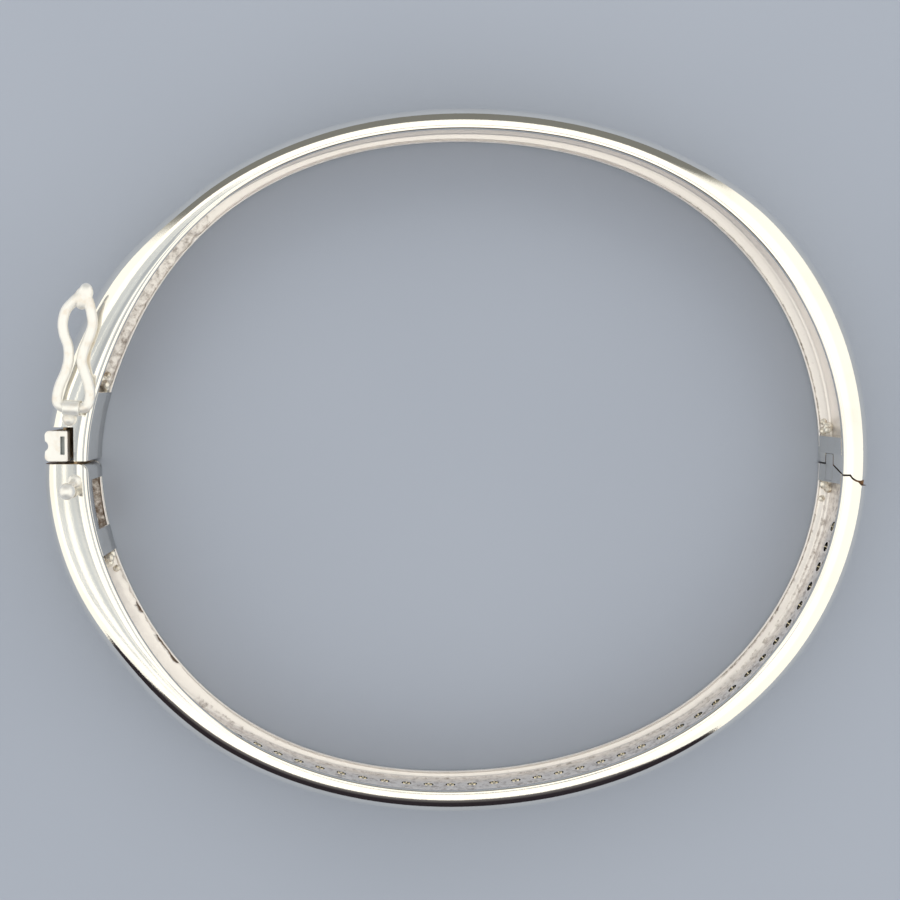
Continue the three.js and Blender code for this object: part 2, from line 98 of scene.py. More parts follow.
def on_band(degrees, depth, z):
    """A point out from the wrist opening by depth, at height z."""
    t = math.radians(degrees)
    point = Vector((OVAL_A * math.cos(t), OVAL_B * math.sin(t), z))
    return point + outward(degrees) * (at(TRIM, degrees) + depth)


PIN_X = OVAL_A + at(TRIM, 0) + PIN_INSET
joints = {j["name"]: j for j in frame["record"]["behaviour"]["joints"]}
pin = Vector(joints["bangle_hinge"]["pos_m"])
BAND_TO_FRAME = (Matrix.Translation((pin.x - PIN_X * MM, pin.y - PIN_Y * MM, 0))
                 @ Matrix.Scale(MM, 4))


# ---------- mesh tools ----------

def new_piece(name, mesh, materials, smooth_angle=35):
    """An object from a mesh in band millimetres, put in the frame."""
    mesh.transform(BAND_TO_FRAME)
    piece = bpy.data.objects.new(name, mesh)
    bpy.context.scene.collection.objects.link(piece)
    for index, material in enumerate(materials):
        if index < len(mesh.materials):
            mesh.materials[index] = material  # a boolean can leave an empty slot first
        else:
            mesh.materials.append(material)
    for polygon in mesh.polygons:
        polygon.use_smooth = True
    mesh.set_sharp_from_angle(angle=math.radians(smooth_angle))
    return piece


def mesh_of(name, points, faces):
    mesh = bpy.data.meshes.new(name)
    mesh.from_pydata([tuple(p) for p in points], [], faces)
    mesh.update()
    return mesh


def loft(name, rings, closed=False):
    """Joins rings of equal length; an open run is capped at both ends."""
    size = len(rings[0])
    points = [p for ring in rings for p in ring]
    faces = []
    last = len(rings) if closed else len(rings) - 1
    for r in range(last):
        here, there = r * size, (r + 1) % len(rings) * size
        for i in range(size):
            j = (i + 1) % size
            faces.append((here + i, there + i, there + j, here + j))
    if not closed:
        faces.append(tuple(range(size)))
        end = (len(rings) - 1) * size
        faces.append(tuple(end + i for i in reversed(range(size))))
    return mesh_of(name, points, faces)


def block(x, y, z):
    corners = [(x[i], y[j], z[k]) for i in (0, 1) for j in (0, 1) for k in (0, 1)]
    faces = [(0, 1, 3, 2), (4, 6, 7, 5), (0, 4, 5, 1), (2, 3, 7, 6), (0, 2, 6, 4), (1, 5, 7, 3)]
    return mesh_of("block", corners, faces)


def prism(outline, z):
    """An outline in the XY plane, anticlockwise, raised from z[0] to z[1]."""
    count = len(outline)
    points = [(x, y, z[0]) for x, y in outline] + [(x, y, z[1]) for x, y in outline]
    faces = [tuple(reversed(range(count))), tuple(range(count, 2 * count))]
    for i in range(count):
        j = (i + 1) % count
        faces.append((i, j, count + j, count + i))
    return mesh_of("prism", points, faces)


def arc(x, y, radius, first, last, steps):
    """Points along an arc, with its angles in degrees."""
    turns = [math.radians(first + (last - first) * k / steps) for k in range(steps + 1)]
    return [(x + radius * math.cos(t), y + radius * math.sin(t)) for t in turns]


def circle(x, y, radius, sides):
    return [(x + radius * math.cos(2 * math.pi * k / sides),
             y + radius * math.sin(2 * math.pi * k / sides)) for k in range(sides)]


def post(x, y, z, radius, sides=48):
    return prism(circle(x, y, radius, sides), z)


def lathe(profile, sides, axis=None, place=None):
    """Turns a profile of [radius, height] about Z, then points Z along axis at place."""
    points, faces = [], []
    rows = []
    for radius, height in profile:
        if radius == 0:
            rows.append([len(points)])
            points.append(Vector((0, 0, height)))
        else:
            rows.append(list(range(len(points), len(points) + sides)))
            for k in range(sides):
                turn = 2 * math.pi * k / sides
                points.append(Vector((radius * math.cos(turn), radius * math.sin(turn), height)))
    for low, high in zip(rows, rows[1:]):
        for k in range(sides):
            j = (k + 1) % sides
            if len(low) == 1:
                faces.append((low[0], high[j], high[k]))
            elif len(high) == 1:
                faces.append((low[k], low[j], high[0]))
            else:
                faces.append((low[k], low[j], high[j], high[k]))
    if axis is not None:
        turn = Vector((0, 0, 1)).rotation_difference(axis)
        points = [turn @ p + Vector(place) for p in points]
    return mesh_of("lathe", points, faces)


def joined(meshes):
    whole = bmesh.new()
    for mesh in meshes:
        whole.from_mesh(mesh)
    result = bpy.data.meshes.new("joined")
    whole.to_mesh(result)
    whole.free()
    return result


def boolean(mesh, other, operation, solver="EXACT"):
    base = bpy.data.objects.new("base", mesh)
    tool = bpy.data.objects.new("tool", other)
    for o in (base, tool):
        bpy.context.scene.collection.objects.link(o)
    modifier = base.modifiers.new("boolean", "BOOLEAN")
    modifier.operation = operation
    modifier.solver = solver
    modifier.object = tool
    result = applied(base)
    for o in (base, tool):
        bpy.data.objects.remove(o)
    return result


def applied(o):
    """The mesh of an object with its modifiers done."""
    depsgraph = bpy.context.evaluated_depsgraph_get()
    return bpy.data.meshes.new_from_object(o.evaluated_get(depsgraph), depsgraph=depsgraph)


def cut(mesh, *tools):
    for tool in tools:
        mesh = boolean(mesh, tool, "DIFFERENCE")
    return mesh


def union(mesh, *others):
    for other in others:
        mesh = boolean(mesh, other, "UNION")
    return mesh


def softened(mesh, width, segments=2, angle=40):
    """Rounds the sharp edges."""
    o = bpy.data.objects.new("soft", mesh)
    bpy.context.scene.collection.objects.link(o)
    modifier = o.modifiers.new("bevel", "BEVEL")
    modifier.width = width
    modifier.segments = segments
    modifier.limit_method = "ANGLE"
    modifier.angle_limit = math.radians(angle)
    modifier.use_clamp_overlap = True
    result = applied(o)
    bpy.data.objects.remove(o)
    return result


# ---------- shader tools ----------

def node(tree, kind, inputs=None, **settings):
    made = tree.nodes.new(kind)
    for key, value in settings.items():
        setattr(made, key, value)
    for key, value in (inputs or {}).items():
        socket = made.inputs[key]
        if isinstance(value, bpy.types.NodeSocket):
            tree.links.new(value, socket)
        else:
            socket.default_value = value
    return made


def maths(tree, operation, *values):
    return node(tree, "ShaderNodeMath", dict(enumerate(values)), operation=operation).outputs[0]


def ramp(tree, value, low, high):
    """0 below low, 1 above high, with a smooth change between."""
    made = node(tree, "ShaderNodeMapRange", interpolation_type="SMOOTHSTEP")
    tree.links.new(value, made.inputs["Value"])
    made.inputs["From Min"].default_value = low
    made.inputs["From Max"].default_value = high
    return made.outputs[0]


def spread(tree, value, low, high):
    """Takes 0..1 to low..high."""
    made = node(tree, "ShaderNodeMapRange")
    tree.links.new(value, made.inputs["Value"])
    made.inputs["To Min"].default_value = low
    made.inputs["To Max"].default_value = high
    return made.outputs[0]


def mixed(tree, factor, a, b):
    made = node(tree, "ShaderNodeMix", data_type="RGBA")
    for socket, value in ((made.inputs[0], factor), (made.inputs[6], a), (made.inputs[7], b)):
        if isinstance(value, bpy.types.NodeSocket):
            tree.links.new(value, socket)
        else:
            socket.default_value = value
    return made.outputs[2]


def fresh_material(name):
    material = bpy.data.materials.new(name)
    material.use_nodes = True
    tree = material.node_tree
    tree.nodes.clear()
    shader = node(tree, "ShaderNodeBsdfPrincipled")
    out = node(tree, "ShaderNodeOutputMaterial")
    tree.links.new(shader.outputs[0], out.inputs[0])
    return material, tree, shader


def grain(tree, size_mm, detail=3, rough=0.6):
    place = node(tree, "ShaderNodeTexCoord").outputs["Object"]
    return node(tree, "ShaderNodeTexNoise",
                {"Vector": place, "Scale": 1 / (size_mm * MM), "Detail": detail, "Roughness": rough}
                ).outputs["Fac"]


def silver(name, colour, dull, roughness, wave_mm, dull_amount, bump_mm, metallic=1.0):
    """Polished metal: a little uneven in colour and gloss, with a faint ripple."""
    material, tree, shader = fresh_material(name)
    cloud = grain(tree, wave_mm)
    fine = grain(tree, 0.12, 2)
    shader.inputs["Metallic"].default_value = metallic
    patch = maths(tree, "MULTIPLY", ramp(tree, cloud, 0.45, 0.75), dull_amount)
    tree.links.new(mixed(tree, patch, colour, dull), shader.inputs["Base Color"])
    tree.links.new(spread(tree, cloud, roughness * 0.7, roughness * 1.4), shader.inputs["Roughness"])
    ripple = maths(tree, "ADD", cloud, maths(tree, "MULTIPLY", fine, 0.15))
    bump = node(tree, "ShaderNodeBump", {"Height": ripple, "Strength": 0.5, "Distance": bump_mm * MM})
    tree.links.new(bump.outputs[0], shader.inputs["Normal"])
    return material


CAST_METALLIC = 0.5  # a fine matt bloom lies over the cast metal


def cast_silver(name, bright, dark, roughness):
    """Metal as it was cast and only rough polished, with tarnish and painted shade where the mesh says.
    """
    material, tree, shader = fresh_material(name)
    shader.inputs["Metallic"].default_value = CAST_METALLIC
    tarnish_and_shade = node(tree, "ShaderNodeAttribute", attribute_name="tarnish_and_shade").outputs["Fac"]
    cloud = grain(tree, 0.55, 4, 0.7)
    fine = grain(tree, 0.16, 3)
    patchy = maths(tree, "MULTIPLY", maths(tree, "SUBTRACT", cloud, 0.5), 1.5)
    level = maths(tree, "ADD", tarnish_and_shade, patchy)
    amount = ramp(tree, level, 0.15, 0.85)
    tree.links.new(mixed(tree, amount, bright, dark), shader.inputs["Base Color"])
    tree.links.new(spread(tree, amount, roughness, roughness + 0.2), shader.inputs["Roughness"])
    height = maths(tree, "ADD", cloud, maths(tree, "MULTIPLY", fine, 0.4))
    height = maths(tree, "MULTIPLY", height, maths(tree, "ADD", tarnish_and_shade, 0.12))
    bump = node(tree, "ShaderNodeBump", {"Height": height, "Strength": 0.8, "Distance": 0.08 * MM})
    tree.links.new(bump.outputs[0], shader.inputs["Normal"])
    return material


def clear_stone():
    material, tree, shader = fresh_material("clear_stone")
    shader.inputs["Base Color"].default_value = (0.97, 0.98, 1, 1)
    shader.inputs["Transmission Weight"].default_value = 1
    shader.inputs["IOR"].default_value = 2.1
    haze = grain(tree, 0.9)
    tree.links.new(spread(tree, haze, 0.0, 0.03), shader.inputs["Roughness"])
    return material


POLISHED = silver("polished_silver", (0.94, 0.92, 0.87, 1), (0.80, 0.76, 0.68, 1), 0.06, 6, 0.35, 0.02)
PLATE = silver("plate_silver", (0.88, 0.87, 0.84, 1), (0.74, 0.72, 0.68, 1), 0.18, 1.2, 0.5, 0.01)
WIRE = silver("wire_silver", (0.98, 0.955, 0.89, 1), (0.86, 0.72, 0.55, 1), 0.38, 0.9, 0.5, 0.04, 0.5)
# the gaps' metal: dark brown painted shade for the faces deep in the seams and the clasp's notch
GAP_SHADE_METAL = silver("gap_painted_shade", (0.20, 0.115, 0.065, 1), (0.08, 0.05, 0.035, 1), 0.5, 0.6, 0.9, 0.02)
SPRING = silver("spring_silver", (0.72, 0.55, 0.36, 1), (0.30, 0.17, 0.09, 1), 0.4, 0.9, 0.85, 0.03)
# the recess's cast metal, darkened by the mesh's tarnish and painted shade
RECESS = cast_silver("cast_silver", (0.98, 0.93, 0.88, 1), (0.20, 0.14, 0.10, 1), 0.3)
# the slot's metal: grey painted shade for the inside of the thumb piece's slot
SLOT_SHADE = silver("slot_painted_shade", (0.50, 0.53, 0.53, 1), (0.36, 0.38, 0.38, 1), 0.4, 0.5, 0.5, 0.01, 0.4)
SOLDER = silver("solder", (0.97, 0.93, 0.83, 1), (0.36, 0.25, 0.14, 1), 0.3, 0.5, 0.9, 0.08, 0.7)
STONE = clear_stone()

# ---------- the band's section ----------

DOME_STEPS = 44
CROWN_SLOPE = 0.065  # slope at both edges of the land's gentle crown
CROWN_STEPS = 6
LAND_LEAST = 0.32
CREASE = 0.018  # depth of the line beside the polished rim
LEDGE = 0.46  # height of the recess's lower ledge
LEDGE_SLOPE, LEDGE_RISE = 0.25, 0.35  # the ledge's slope up to the wall, and its most
LEDGE_STEPS = 7
FILLET = 0.28
FILLET_STEPS = 7
WALL_STEPS = 10

# The polished rim from its crease to the wrist side, then over the lip into the recess:
# [depth, distance from the side face of the band].
RIM_POINTS = [(0.27, CREASE), (0.22, 0.012), (0.16, 0), (0.09, 0.012), (0.03, 0.06), (0, 0.13)]
LIP_POINTS = [(0, RIM - 0.12), (0.03, RIM - 0.03), (0.09, RIM), (0.16, RIM - 0.03),
              (0.22, LEDGE - 0.03)]


# how far the recess wall stands inwards at mid height, round the openings behind the stones
BULGE = [[0, 0], [190, 0], [228, 0], [236, 0.26], [300, 0.26], [346, 0.3], [352, 0]]
WIDE_RIM = 1.75  # the rim is this much wider where the land is broad
RIM_WIDTH = 0.3  # from the wrist opening to the crease, where the land is narrow
RIM_GROWS_FROM, RIM_GROWS_OVER = 0.5, 0.9  # the land's widths between which it grows


def rim_scale(land):
    """The rim and its crease grow with the land beside them."""
    t = min(1, max(0, (land - RIM_GROWS_FROM) / RIM_GROWS_OVER))
    return 1 + (WIDE_RIM - 1) * t * t * (3 - 2 * t)


def crown_points(land):
    """The land's gentle crown, from its outer edge to the rim's crease."""
    width = land - RIM_WIDTH * rim_scale(land)
    points = []
    for k in range(CROWN_STEPS + 1):
        t = k / CROWN_STEPS
        points.append((land - width * t, CROWN_SLOPE * width * (1 - 4 * t * (1 - t)) / 4 * (t > 0)))
    return points


def ledge_rise(depth):
    """How much the ledge climbs from the lip to the wall."""
    return min(LEDGE_RISE, LEDGE_SLOPE * (depth - FILLET - LIP_POINTS[-1][0]))


def side_points(degrees):
    """One side of the band, from the dome's edge over the rim and the ledge to the recess wall."""
    land = max(at(LAND, degrees), LAND_LEAST)
    depth = at(RECESS_DEPTH, degrees)
    scale = rim_scale(land)
    outside = crown_points(land) + [(u * scale, h / scale ** 2) for u, h in RIM_POINTS[:2]]
    outside += [(u * (1 + (scale - 1) * u / RIM_POINTS[1][0]), h) for u, h in RIM_POINTS[2:]]
    inside = list(LIP_POINTS)
    lip_end = LIP_POINTS[-1][0]
    rise = ledge_rise(depth)
    for k in range(1, LEDGE_STEPS):
        t = k / LEDGE_STEPS
        inside.append((lip_end + (depth - FILLET - lip_end) * t, LEDGE + rise * t))
    for k in range(FILLET_STEPS + 1):
        turn = math.radians(90 * k / FILLET_STEPS)
        inside.append((depth - FILLET + FILLET * math.sin(turn),
                       LEDGE + rise + FILLET - FILLET * math.cos(turn)))
    return outside, inside


def band_section(degrees):
    """[depth, z] points round the section, and a flag for those inside the recess."""
    outside, inside = side_points(degrees)
    land = max(at(LAND, degrees), LAND_LEAST)
    reach = at(THICKNESS, degrees) - land
    points = [(u, h, True) for u, h in reversed(inside)]
    points += [(u, h, False) for u, h in reversed(outside)]
    for k in range(1, DOME_STEPS):
        turn = math.pi * (k / DOME_STEPS - 0.5)
        across = math.cos(turn) ** (2 / DOME_POWER)
        up = math.copysign(abs(math.sin(turn)) ** (2 / DOME_POWER), turn)
        points.append((land + reach * across, MIDDLE + MIDDLE * up, False))
    points += [(u, WIDTH - h, False) for u, h in outside]
    points += [(u, WIDTH - h, True) for u, h in inside]
    depth = at(RECESS_DEPTH, degrees)
    low = LEDGE + ledge_rise(depth) + FILLET
    high = WIDTH - low
    bulge = max(0, at(BULGE, degrees))
    for k in range(1, WALL_STEPS):
        t = k / WALL_STEPS
        points.append((depth - bulge * math.sin(math.pi * t) ** 0.8, high + (low - high) * t, True))
    return points


def solid_section(degrees):
    """The band's outside only, closed straight across the wrist side."""
    return [(u, z) for u, z, inside in band_section(degrees) if not inside]


def plate_section(degrees):
    low, high = RIM + 0.1, WIDTH - RIM - 0.1
    return [(-PLATE_PROUD, 0.1), (0.08, 0.1), (0.08, low), (PLATE_DEPTH, low), (PLATE_DEPTH, high),
            (0.0, high)]


ROUGH_SPANS = [(131, 170), (196, 222)]  # where the casting was never polished inside
SPAN_FADE = 4


def roughness_at(degrees):
    turn = degrees % 360
    best = 0.0
    for low, high in ROUGH_SPANS:
        best = max(best, min(1, (turn - low) / SPAN_FADE, (high - turn) / SPAN_FADE))
    return max(0.0, best)


# [from, to, level] of painted shade along the crease between the lip and the ledge
CREASE_SHADE = [(5, 29, 0.5), (33, 55, 0.35), (206, 208.3, 1), (212.8, 218.6, 1), (316, 350, 0.45)]


CREASE_DEPTH = (0.12, 0.30)
LEDGE_TOP = LEDGE + 0.12
WINDOW_SPAN = (181.5, 192.5)  # what is seen through the window of the front clasp plate
STONE_WALL_FROM = 225  # degrees where the wall behind the stones begins
# levels: painted shade behind the window, tarnish where the casting is rough, painted shade on the wall
# behind the stones
WINDOW_SHADE, ROUGH_TARNISH, STONE_WALL_SHADE = 0.62, 0.34, 0.3


def tarnish_and_shade_at(degrees, depth, z):
    """0 for bright metal and 1 for the darkest, over the recess: tarnish where the casting is rough,
    and painted shade in the crease, behind the window and on the wall behind the stones.
    """
    turn = degrees % 360
    low = z < LEDGE_TOP
    if low and CREASE_DEPTH[0] < depth < CREASE_DEPTH[1]:
        for start, end, level in CREASE_SHADE:
            if start < turn < end:
                return level
    if WINDOW_SPAN[0] < turn < WINDOW_SPAN[1]:
        return WINDOW_SHADE
    if ROUGH_SPANS[0][0] < turn < ROUGH_SPANS[0][1]:
        return ROUGH_TARNISH * roughness_at(turn)
    # above the ledge, the wall behind the stones gets painted shade
    if not low and turn > STONE_WALL_FROM:
        return STONE_WALL_SHADE
    return 0.0


SMOOTH_DEPTH = 0.1  # the polished lip, where the recess has no lumps yet
LUMPS, CAST_LUMPS = 0.012, 0.16  # height of the lumps where polished and where left as cast


def lump_at(degrees, z):
    """The casting's unevenness, in broad lumps with finer ones on them."""
    broad = noise.noise(Vector((degrees * 0.9, z * 1.3, 3.1)))
    return broad + 0.7 * noise.noise(Vector((degrees * 2.1, z * 2.7, 8.7)))


def half_hoop(name, start, end, rings):
    loops, levels = [], []
    for i in range(rings + 1):
        degrees = start + (end - start) * i / rings
        rough = roughness_at(degrees)
        ring = []
        for u, z, inside in band_section(degrees):
            level = 0.0
            if inside and u > SMOOTH_DEPTH:
                u += (LUMPS + CAST_LUMPS * rough) * lump_at(degrees, z)
                level = tarnish_and_shade_at(degrees, u, z)
            ring.append(on_band(degrees, u, z))
            levels.append(level)
        loops.append(ring)
    flags = [inside for _, _, inside in band_section(start)]
    mesh = loft(name, loops)
    mesh.attributes.new("tarnish_and_shade", "FLOAT", "POINT").data.foreach_set("value", levels)
    size = len(flags)
    for index in range(rings * size):
        k = index % size
        mesh.polygons[index].material_index = int(flags[k] and flags[(k + 1) % size])
    return mesh


def sweep(section, start, end, steps):
    return loft("sweep", [[on_band(d, u, z) for u, z in section(d)]
                          for d in (start + (end - start) * i / steps for i in range(steps + 1))])


def finish_piece(piece, body, slot, *replaced):
    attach(piece, body)
    if replaced:
        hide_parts(*replaced)


# ---------- hinge ----------

ALL_Z = (-1, WIDTH + 1)
HINGE_END_X = OVAL_A + 6  # well past the band's outer face
SHOULDER_Y = 0.55
SEAM_Y, SEAM_LOW_Y = -1.0, -0.25  # the sloping seam on the wrist side
TONGUE_Y = 0.53
TONGUE_CORNER = 0.16
WEB_Y = -1.7
MIDDLE_LOW, MIDDLE_HIGH = 2.35, 4.2
PIN_R, PIN_TOP, PIN_BOTTOM = 0.45, 6.05, 0.62
PIN_ROUND = 0.06
PIN_CLEARANCE = 0.03
PIN_HOLE_END = 0.3
INNER_X = OVAL_A - 3


def along_x(outline, x):
    """An outline of [y, z] points, anticlockwise seen from +X, drawn out along X."""
    count = len(outline)
    points = [(x[0], y, z) for y, z in outline] + [(x[1], y, z) for y, z in outline]
    faces = [tuple(reversed(range(count))), tuple(range(count, 2 * count))]
    faces += [(i, (i + 1) % count, count + (i + 1) % count, count + i) for i in range(count)]
    return mesh_of("bar", points, faces)


def behind_seam(x, clearance):
    """Everything on the back half's side of the seam, which slopes above the middle knuckle."""
    low, high = SEAM_LOW_Y - clearance, SEAM_Y - clearance
    outline = [(low, ALL_Z[0]), (6, ALL_Z[0]), (6, ALL_Z[1]), (high, ALL_Z[1]), (high, WIDTH),
               (low, MIDDLE_HIGH)]
    return along_x(outline, x)


def knuckle(low, high):
    """One of the back half's knuckles, as a plain solid."""
    barrel = post(PIN_X, PIN_Y, (low, high), KNUCKLE_R, ROUND_SIDES)
    outer = block((PIN_X - PIN_R, HINGE_END_X), (PIN_Y, SHOULDER_Y + 0.5), (low, high))
    wrist = boolean(block((INNER_X, PIN_X), (SEAM_Y - 0.5, SHOULDER_Y + 0.5), (low, high)),
                    behind_seam((INNER_X - 1, PIN_X + 1), 0), "INTERSECT")
    return union(barrel, outer, wrist)


def hinge_zone():
    return sweep(solid_section, -6, 6, 60)


def back_hinge_end():
    """The back half's hinge end, both knuckles in one; back_hoop cuts it from the band's own solid."""
    return union(knuckle(MIDDLE_HIGH + SEAM, WIDTH + 1), knuckle(-1, MIDDLE_LOW - SEAM))


def rounded_tongue(layer):
    """The middle knuckle's flat part, with its upper and lower corners rounded at its end."""
    low, high = layer
    outline = [(WEB_Y, low), (TONGUE_Y - TONGUE_CORNER, low), (TONGUE_Y, low + TONGUE_CORNER),
               (TONGUE_Y, high - TONGUE_CORNER), (TONGUE_Y - TONGUE_CORNER, high), (WEB_Y, high)]
    return along_x(outline, (INNER_X, PIN_X))


def middle_knuckle():
    layer = (MIDDLE_LOW, MIDDLE_HIGH)
    tongue = rounded_tongue(layer)
    body = union(post(PIN_X, PIN_Y, layer, KNUCKLE_R, ROUND_SIDES), tongue,
                 block((PIN_X - 0.5, PIN_X + 1.2), (WEB_Y - 0.3, PIN_Y), layer))
    body = boolean(body, hinge_zone(), "INTERSECT")
    body = boolean(body, post(PIN_X, PIN_Y, ALL_Z, PIN_R + PIN_CLEARANCE), "DIFFERENCE")
    body = softened(body, 0.05, 3)
    # its flat top and bottom, deep in the seam, get the dark painted shade of the seam
    for polygon in body.polygons:
        if abs(polygon.normal.z) > 0.9:
            polygon.material_index = 1
    piece = new_piece("knuckle_middle", body, [PLATE, GAP_SHADE_METAL])
    finish_piece(piece, "front_half", "silver_polished", "hinge_knuckle_middle")


def pin_piece():
    profile = [(0, PIN_BOTTOM), (PIN_R - PIN_ROUND, PIN_BOTTOM), (PIN_R, PIN_BOTTOM + PIN_ROUND),
               (PIN_R, PIN_TOP - PIN_ROUND), (PIN_R - PIN_ROUND, PIN_TOP), (0, PIN_TOP)]
    mesh = lathe(profile, 40)
    mesh.transform(Matrix.Translation((PIN_X, PIN_Y, 0)))
    finish_piece(new_piece("pin", mesh, [SPRING]), "back_half", "silver_spring", "hinge_pin")


# ---------- clasp ----------

CLASP_X = (-OVAL_A - 8, -OVAL_A + 6)
NOTCH_X, NOTCH_Y = -31.68, 2.9
BACK_END_Y, FRONT_END_Y = 0.18, -0.06
CORNER_R = 0.65
PLATE_DEPTH, PLATE_PROUD = 0.5, 0.015
BACK_PLATE_END, FRONT_PLATE_END = 167.8, 196.1
WINDOW_Y, WINDOW_Z = (-5.45, -1.4), (0.3, 4.8)

THUMB_X = (-34.0, -32.18)
THUMB_SEAT = -32.85
THUMB_Y = (0.14, 2.62)
THUMB_Z = (0.15, 6.85)
THUMB_EAR = 1.1
THUMB_CORNER, THUMB_LOBE = 0.12, 0.4
THUMB_GROOVE, GROOVE_OUT = 0.42, 0.14  # the groove's radius, and how far out its centre lies
THUMB_EDGE = 0.07
THUMB_SLOT_X, THUMB_SLOT_Y, THUMB_SLOT_DEPTH = (-32.76, -32.42), (0.72, 2.14), 0.7


def back_clasp_cut():
    return union(block(CLASP_X, (-8, BACK_END_Y), ALL_Z),
                 block((-OVAL_A - 8.1, NOTCH_X), (-8.1, NOTCH_Y), (-1.1, WIDTH + 1.1)))


def front_clasp_cut():
    """Past the front half's flat end, with the end's inner corner rounded."""
    inner = on_band(180, 0, 0).x
    x, y = inner - CORNER_R, FRONT_END_Y - CORNER_R
    corner = arc(x, y, CORNER_R, 90, 0, 12)
    outline = [(CLASP_X[0], FRONT_END_Y)] + corner + [(inner + 2, y), (inner + 2, 8), (CLASP_X[0], 8)]
    return prism(outline, ALL_Z)


def plates():
    back = boolean(sweep(plate_section, BACK_PLATE_END, 182, 50), back_clasp_cut(), "DIFFERENCE")
    piece = new_piece("plate_back", softened(back, 0.05), [PLATE])
    finish_piece(piece, "back_half", "silver_plate", "back_clasp_plate")
    front = sweep(plate_section, 178, FRONT_PLATE_END, 60)
    front = cut(front, front_clasp_cut(), block((-OVAL_A - 1, -OVAL_A + 3), WINDOW_Y, WINDOW_Z))
    piece = new_piece("plate_front", softened(front, 0.05), [PLATE])
    finish_piece(piece, "front_half", "silver_plate", "front_clasp_plate")


def thumb():
    """The thumb piece: two lobes outside, a slot in its upper ear, and room for the spring leaf."""
    (x0, x1), (y0, y1) = THUMB_X, THUMB_Y
    corner, lobe = THUMB_CORNER, THUMB_LOBE
    outline = arc(x1 - corner, y1 - corner, corner, 0, 90, 6)
    outline += arc(x0 + lobe, y1 - lobe, lobe, 90, 180, 6)
    outline += arc(x0 - GROOVE_OUT, (y0 + y1) / 2, THUMB_GROOVE, 66, -66, 11)
    outline += arc(x0 + lobe, y0 + lobe, lobe, 180, 270, 6)
    outline += arc(x1 - corner, y0 + corner, corner, 270, 360, 6)
    body = prism(outline, THUMB_Z)
    leaf_room = block((THUMB_SEAT, x1 + 1), (y0 - 1, y1 + 1),
                      (THUMB_Z[0] + THUMB_EAR, THUMB_Z[1] - THUMB_EAR))
    slot = block(THUMB_SLOT_X, THUMB_SLOT_Y, (THUMB_Z[1] - THUMB_SLOT_DEPTH, 8))
    body = softened(cut(body, leaf_room, slot), THUMB_EDGE, 4)
    # the faces inside the slot get a grey painted shade
    for polygon in body.polygons:
        x, y, z = polygon.center
        inside = THUMB_SLOT_X[0] < x < THUMB_SLOT_X[1] and THUMB_SLOT_Y[0] < y < THUMB_SLOT_Y[1]
        if inside and z > MIDDLE:
            polygon.material_index = 1  # the slot
    piece = new_piece("thumb", body, [WIRE, SLOT_SHADE])
    finish_piece(piece, "push_tongue", "silver_wire", "thumb_piece")


# ---------- safety catch ----------

CATCH_AT = Vector((-31.7, 4.42, 7.62))
CATCH_SIDE_X = (-40, -20)
SIDE_FACE = WIDTH - 0.01  # just under the band's side, so that what stands on it has no gap
CATCH_TURN = math.radians(-4)
TO_CATCH = Matrix.Translation(CATCH_AT) @ Matrix.Rotation(CATCH_TURN, 4, "Z")
WIRE_R, WIRE_FLAT = 0.42, 0.36
TUBE_R, TUBE_X, TUBE_ROUND = 0.62, (-0.66, 0.66), 0.08
LUMP_AT, LUMP_SIZE = (-0.22, -0.88, -0.52), (0.56, 0.56, 0.6)
TAB_AT, TAB_SIZE = (0.58, 9.2, 0), (0.58, 0.76, 0.42)
HEAD_AT, HEAD_SIZE = (0.28, 8.7, 0), (0.6, 0.9, 0.37)

# The figure-eight's middle line, across the catch and along it from the pivot.
CATCH_LINE = [(-0.6, 0), (0.1, 0.02), (0.75, 0.05), (1.24, 0.32), (1.4, 1.05), (1.24, 1.95),
              (0.86, 2.9), (0.58, 3.75), (0.7, 4.7), (1.05, 5.8), (1.25, 6.8), (1.02, 7.9),
              (0.8, 8.6), (0.44, 9), (0, 8.75), (-0.4, 8.35), (-0.88, 7.7), (-1.08, 6.74),
              (-0.93, 5.8), (-0.56, 4.9), (-0.45, 3.87), (-0.63, 2.83), (-1, 1.8), (-1.16, 0.95),
              (-1.1, 0.36)]


def closed_curve(points, steps):
    """A smooth closed line through the points."""
    count = len(points)
    line = []
    for i in range(count):
        a, b, c, d = (Vector((*points[(i + k) % count], 0)) for k in (-1, 0, 1, 2))
        for k in range(steps):
            t = k / steps
            line.append(0.5 * (2 * b + (c - a) * t + (2 * a - 5 * b + 4 * c - d) * t**2
                               + (3 * b - a - 3 * c + d) * t**3))
    return line


def tube_along(line, wide, high, sides=24):
    rings = []
    count = len(line)
    for i, centre in enumerate(line):
        along = (line[(i + 1) % count] - line[i - 1]).normalized()
        across = Vector((along.y, -along.x, 0))
        rings.append([centre + across * wide * math.cos(t) + Vector((0, 0, high * math.sin(t)))
                      for t in (2 * math.pi * k / sides for k in range(sides))])
    return loft("tube", rings, closed=True)


def ellipsoid(place, size, sides=32):
    profile = [(math.sin(math.pi * k / 20), -math.cos(math.pi * k / 20)) for k in range(21)]
    profile[0], profile[-1] = (0, -1), (0, 1)
    mesh = lathe(profile, sides)
    mesh.transform(Matrix.Translation(place) @ Matrix.Diagonal((*size, 1)))
    return mesh


def melted(mesh, voxel=0.05, passes=6):
    """Runs the solids of a mesh together, with soft joints as solder leaves them."""
    o = bpy.data.objects.new("melt", mesh)
    bpy.context.scene.collection.objects.link(o)
    remesh = o.modifiers.new("remesh", "REMESH")
    remesh.mode = "VOXEL"
    remesh.voxel_size = voxel
    smooth = o.modifiers.new("smooth", "SMOOTH")
    smooth.factor = 0.5
    smooth.iterations = passes
    result = applied(o)
    bpy.data.objects.remove(o)
    return result


